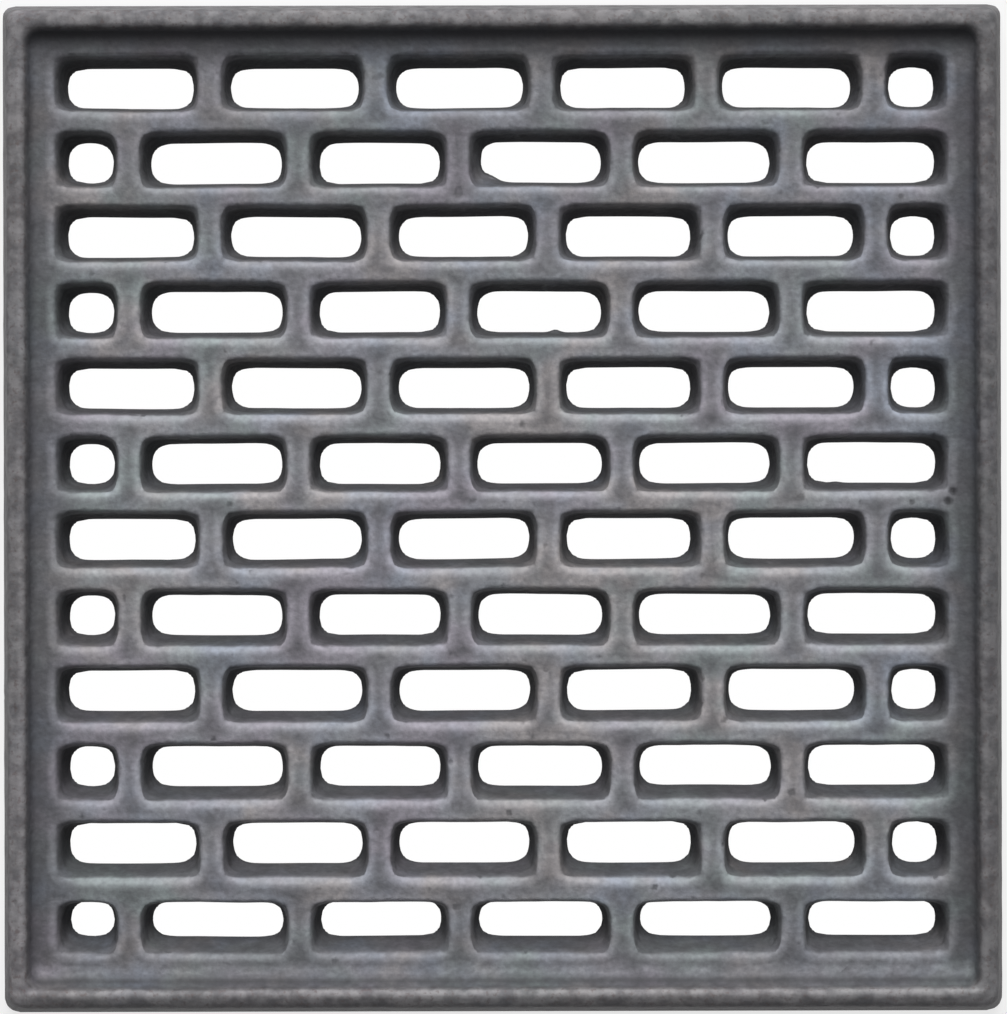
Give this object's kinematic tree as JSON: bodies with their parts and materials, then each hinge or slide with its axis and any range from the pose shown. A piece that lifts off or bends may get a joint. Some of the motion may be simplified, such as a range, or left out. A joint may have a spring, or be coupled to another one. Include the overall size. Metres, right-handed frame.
{
  "type": "wood stove grate",
  "caption": "Near-square cast-iron fire grate for a wood stove, with flared slots set like bricks inside a low raised rim. It carries the fire and lets ash and air through.",
  "frame": {"origin": "centre of the flat back, on the plane that the grate rests on", "axes": "+Z from the flat back to the rim, X along the slots, Y across the rows; the narrower row is at -Y"},
  "size_m": [0.25, 0.252, 0.015],
  "materials": {
    "cast_iron": "as cast, sandy grey with a soft sheen and faint rust"
  },
  "bodies": {
    "root": {"grate": "cast_iron"}
  },
  "joints": []
}
